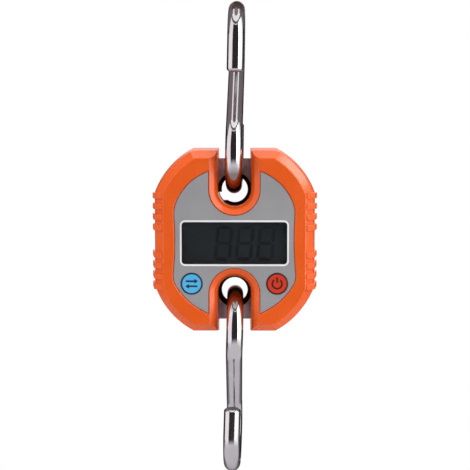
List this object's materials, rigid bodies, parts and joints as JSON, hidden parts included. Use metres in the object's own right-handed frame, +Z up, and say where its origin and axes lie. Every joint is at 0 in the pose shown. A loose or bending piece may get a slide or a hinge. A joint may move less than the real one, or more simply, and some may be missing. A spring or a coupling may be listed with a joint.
{
  "type": "hanging digital scale",
  "caption": "Crane-type hanging scale: moulded housing with display and keys round a load cell, S-hook above to hang it from and S-hook below for the load.",
  "frame": {"origin": "inside of the upper hook's top loop, where it bears on what the scale hangs from", "axes": "+Z up along the line of pull, the display faces -Y, +X to the right of the display"},
  "size_m": [0.08, 0.042, 0.2289],
  "materials": {
    "polished_steel": "polished stainless steel rod",
    "machined_alloy": "machined, dull grey",
    "orange_abs": "moulded, semi-gloss",
    "grey_film": "fine matt overlay film",
    "clear_acrylic": "clear gloss, dark because of the display behind it",
    "display_glass": "dark liquid crystal glass",
    "white_plastic": "satin white",
    "green_board": "green solder mask",
    "black_plastic": "moulded black",
    "blue_key": "satin light blue",
    "red_key": "satin red",
    "gauge_foil": "amber film",
    "white_silicone": "soft white sealant",
    "battery_jacket": "plain dark sleeve",
    "nickel_plate": "nickel-plated steel"
  },
  "bodies": {
    "upper_hook": {"upper_hook": "polished_steel"},
    "housing": {"load_cell": "machined_alloy", "front_cover": "orange_abs", "rear_cover": "orange_abs", "face_panel": "grey_film", "window_lens": "clear_acrylic", "display_glass": "display_glass", "backlight": "white_plastic", "main_board": "green_board", "controller_chip": "black_plastic", "converter_chip": "black_plastic", "unit_switch": "black_plastic", "power_switch": "black_plastic", "front_strain_gauge": "gauge_foil", "rear_strain_gauge": "gauge_foil", "front_gauge_seal": "white_silicone", "rear_gauge_seal": "white_silicone", "battery_1": "battery_jacket", "battery_2": "battery_jacket", "battery_spring_1": "nickel_plate", "battery_spring_2": "nickel_plate", "link_contact": "nickel_plate", "positive_contact": "nickel_plate", "negative_contact": "nickel_plate", "housing_screw_1": "nickel_plate", "board_screw_1": "nickel_plate", "housing_screw_2": "nickel_plate", "board_screw_2": "nickel_plate", "housing_screw_3": "nickel_plate", "board_screw_3": "nickel_plate", "housing_screw_4": "nickel_plate", "board_screw_4": "nickel_plate", "load_cell_screw_1": "nickel_plate", "load_cell_screw_2": "nickel_plate"},
    "lower_hook": {"lower_hook": "polished_steel"},
    "unit_key": {"unit_key": "blue_key", "unit_plunger": "white_plastic"},
    "power_key": {"power_key": "red_key", "power_plunger": "white_plastic"},
    "battery_door": {"battery_door": "orange_abs"}
  },
  "joints": [
    {"name": "housing_swing", "type": "hinge", "parent": "upper_hook", "child": "housing", "pos_m": [0, 0, -0.063], "axis": [1, 0, 0], "range_deg": [-75, 75]},
    {"name": "lower_hook_swing", "type": "hinge", "parent": "housing", "child": "lower_hook", "pos_m": [0, 0, -0.14988], "axis": [1, 0, 0], "range_deg": [-75, 75]},
    {"name": "unit_key_press", "type": "slide", "parent": "housing", "child": "unit_key", "axis": [0, 1, 0], "range_m": [0, 0.0004], "stiffness_N_per_m": 2000, "springref_m": -0.0003},
    {"name": "power_key_press", "type": "slide", "parent": "housing", "child": "power_key", "axis": [0, 1, 0], "range_m": [0, 0.0004], "stiffness_N_per_m": 2000, "springref_m": -0.0003},
    {"name": "battery_door_lift", "type": "slide", "parent": "housing", "child": "battery_door", "axis": [0, 1, 0], "range_m": [0, 0.03]}
  ]
}
